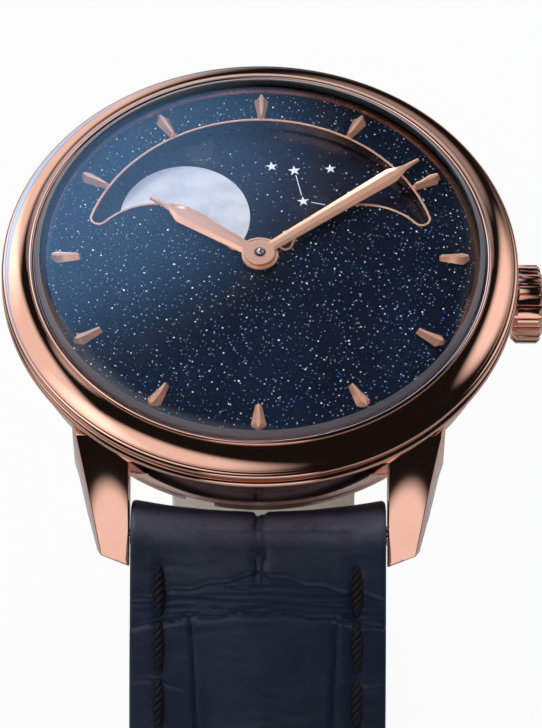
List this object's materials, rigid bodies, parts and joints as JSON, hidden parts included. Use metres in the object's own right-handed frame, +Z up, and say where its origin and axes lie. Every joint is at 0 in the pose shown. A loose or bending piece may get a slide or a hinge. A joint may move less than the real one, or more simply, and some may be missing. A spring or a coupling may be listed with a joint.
{
  "type": "wristwatch",
  "caption": "Round moon phase wristwatch with a crescent opening, fluted crown, display back, going train and a padded strap with a pin buckle, shown unbuckled.",
  "frame": {"origin": "centre of the case back's outer face", "axes": "+Z up through the dial, +Y to 12 o'clock, +X to the crown"},
  "size_m": [0.04, 0.0778, 0.0727],
  "materials": {
    "rose_gold": "mirror-polished rose gold",
    "sapphire": "clear, polished",
    "black_rubber": "satin",
    "flange": "polished rose gold",
    "dial_metal": "satin",
    "aventurine": "polished, with fine sparkle",
    "marker_gold": "polished facets",
    "moon_disc": "dark lacquer",
    "mother_of_pearl": "pearly, polished",
    "steel": "polished",
    "bridge_steel": "striped satin",
    "gilt": "gilt, satin",
    "blue_steel": "polished",
    "ruby": "polished",
    "strap_leather": "glazed alligator grain",
    "lining_leather": "smooth"
  },
  "bodies": {
    "case": {"case_middle": "rose_gold", "bezel": "rose_gold", "crystal": "sapphire", "crystal_seal": "black_rubber", "flange_ring": "flange", "dial_base": "dial_metal", "dial": "aventurine", "window_frame": "marker_gold", "hour_markers": "marker_gold", "case_back": "rose_gold", "back_crystal": "sapphire", "back_seals": "black_rubber", "crown_tube": "steel", "main_plate": "bridge_steel", "movement_holder": "dial_metal", "barrel_bridge": "bridge_steel", "train_bridge": "bridge_steel", "balance_cock": "bridge_steel", "jewels": "ruby", "bridge_screws": "blue_steel", "hairspring": "blue_steel", "pallet_bridge": "bridge_steel", "rotor_bearing": "steel", "dial_side_plate": "dial_metal", "moon_jumper": "steel", "spring_bars": "steel"},
    "sliding_pinion": {"sliding_pinion": "steel"},
    "crown": {"crown": "rose_gold", "crown_seal": "black_rubber", "winding_stem": "steel"},
    "winding_pinion": {"winding_pinion": "steel"},
    "crown_wheel": {"crown_wheel": "steel"},
    "ratchet": {"ratchet_wheel": "steel", "barrel_arbor": "steel"},
    "barrel": {"barrel": "gilt"},
    "centre_wheel": {"centre_wheel": "gilt"},
    "third_wheel": {"third_wheel": "gilt"},
    "fourth_wheel": {"fourth_wheel": "gilt"},
    "escape_wheel": {"escape_wheel": "steel"},
    "pallet_fork": {"pallet_fork": "steel"},
    "balance_wheel": {"balance_wheel": "gilt"},
    "rotor": {"rotor": "gilt", "rotor_screw": "blue_steel"},
    "minute_hand": {"minute_hand": "marker_gold", "cannon_pinion": "steel"},
    "minute_wheel": {"minute_wheel": "gilt"},
    "hour_hand": {"hour_hand": "marker_gold", "hour_wheel": "gilt"},
    "day_wheel": {"day_wheel": "gilt"},
    "moon_disc": {"moon_disc": "moon_disc", "moons": "mother_of_pearl"},
    "strap_6": {"strap_long_top": "strap_leather", "strap_long_lining": "lining_leather"},
    "strap_12": {"strap_short_top": "strap_leather", "strap_short_lining": "lining_leather", "fixed_keeper": "strap_leather", "buckle_bar": "steel"},
    "loose_keeper": {"loose_keeper": "strap_leather"},
    "buckle": {"buckle": "rose_gold"},
    "tongue": {"tongue": "rose_gold"}
  },
  "joints": [
    {"name": "crown_turn", "type": "hinge", "parent": "case", "child": "sliding_pinion", "pos_m": [0, 0, 0.003], "axis": [1, 0, 0], "continuous": true},
    {"name": "crown_pull", "type": "slide", "parent": "sliding_pinion", "child": "crown", "axis": [1, 0, 0], "range_m": [0, 0.0012]},
    {"name": "winding_pinion_turn", "type": "hinge", "parent": "case", "child": "winding_pinion", "pos_m": [0, 0, 0.003], "axis": [1, 0, 0], "continuous": true},
    {"name": "crown_wheel_turn", "type": "hinge", "parent": "case", "child": "crown_wheel", "pos_m": [0.00488, 0, 0.0025], "axis": [0, 0, 1], "continuous": true},
    {"name": "ratchet_turn", "type": "hinge", "parent": "case", "child": "ratchet", "pos_m": [0.00163, 0.00609, 0.0025], "axis": [0, 0, 1], "continuous": true},
    {"name": "centre_wheel_turn", "type": "hinge", "parent": "case", "child": "centre_wheel", "pos_m": [0, 0, 0.0035], "axis": [0, 0, 1], "continuous": true},
    {"name": "barrel_turn", "type": "hinge", "parent": "case", "child": "barrel", "pos_m": [0.00163, 0.00609, 0.0038], "axis": [0, 0, 1], "continuous": true},
    {"name": "third_wheel_turn", "type": "hinge", "parent": "case", "child": "third_wheel", "pos_m": [0.00245, -0.0035, 0.0035], "axis": [0, 0, 1], "continuous": true},
    {"name": "fourth_wheel_turn", "type": "hinge", "parent": "case", "child": "fourth_wheel", "pos_m": [-0.00068, -0.00531, 0.0035], "axis": [0, 0, 1], "continuous": true},
    {"name": "escape_wheel_turn", "type": "hinge", "parent": "case", "child": "escape_wheel", "pos_m": [-0.00409, -0.00531, 0.0039], "axis": [0, 0, 1], "continuous": true},
    {"name": "minute_hand_turn", "type": "hinge", "parent": "case", "child": "minute_hand", "pos_m": [0, 0, 0.009], "axis": [0, 0, 1], "continuous": true},
    {"name": "minute_wheel_turn", "type": "hinge", "parent": "case", "child": "minute_wheel", "pos_m": [0.00288, 0, 0.0056], "axis": [0, 0, 1], "continuous": true},
    {"name": "hour_hand_turn", "type": "hinge", "parent": "case", "child": "hour_hand", "pos_m": [0, 0, 0.0088], "axis": [0, 0, 1], "continuous": true},
    {"name": "day_wheel_turn", "type": "hinge", "parent": "case", "child": "day_wheel", "pos_m": [-0.0065, -0.00236, 0.006], "axis": [0, 0, 1], "continuous": true},
    {"name": "moon_disc_turn", "type": "hinge", "parent": "case", "child": "moon_disc", "pos_m": [0, 0, 0.0073], "axis": [0, 0, 1], "continuous": true},
    {"name": "pallet_fork_rock", "type": "hinge", "parent": "case", "child": "pallet_fork", "pos_m": [-0.006, -0.0037, 0.0039], "axis": [0, 0, 1], "range_deg": [-6, 6]},
    {"name": "balance_swing", "type": "hinge", "parent": "case", "child": "balance_wheel", "pos_m": [-0.0075, -0.0011, 0.0035], "axis": [0, 0, 1], "range_deg": [-270, 270], "stiffness_Nm_per_rad": 0.0000002},
    {"name": "rotor_turn", "type": "hinge", "parent": "case", "child": "rotor", "pos_m": [0, 0, 0.0018], "axis": [0, 0, 1], "continuous": true},
    {"name": "strap_6_swing", "type": "hinge", "parent": "case", "child": "strap_6", "pos_m": [0, -0.01848, -0.0002], "axis": [-1, 0, 0], "range_deg": [-1, 45]},
    {"name": "strap_12_swing", "type": "hinge", "parent": "case", "child": "strap_12", "pos_m": [0, 0.01848, -0.0002], "axis": [1, 0, 0], "range_deg": [-1, 60]},
    {"name": "loose_keeper_slide", "type": "slide", "parent": "strap_12", "child": "loose_keeper", "axis": [0, 0, 1], "range_m": [-0.004, 0.008]},
    {"name": "buckle_swing", "type": "hinge", "parent": "strap_12", "child": "buckle", "pos_m": [0, 0.00524, -0.05777], "axis": [1, 0, 0], "range_deg": [-20, 18]},
    {"name": "tongue_swing", "type": "hinge", "parent": "buckle", "child": "tongue", "pos_m": [0, 0.00524, -0.05777], "axis": [1, 0, 0], "range_deg": [0, 62]}
  ],
  "couplings": [
    {"joint": "winding_pinion_turn", "follows": "crown_turn", "ratio": 1},
    {"joint": "crown_wheel_turn", "follows": "crown_turn", "ratio": 0.56},
    {"joint": "ratchet_turn", "follows": "crown_turn", "ratio": -0.31818},
    {"joint": "barrel_turn", "follows": "centre_wheel_turn", "ratio": -0.15},
    {"joint": "third_wheel_turn", "follows": "centre_wheel_turn", "ratio": -8},
    {"joint": "fourth_wheel_turn", "follows": "centre_wheel_turn", "ratio": 60},
    {"joint": "escape_wheel_turn", "follows": "centre_wheel_turn", "ratio": -720},
    {"joint": "minute_wheel_turn", "follows": "minute_hand_turn", "ratio": -0.33333},
    {"joint": "hour_hand_turn", "follows": "minute_hand_turn", "ratio": 0.083333},
    {"joint": "day_wheel_turn", "follows": "minute_hand_turn", "ratio": -0.041667}
  ]
}
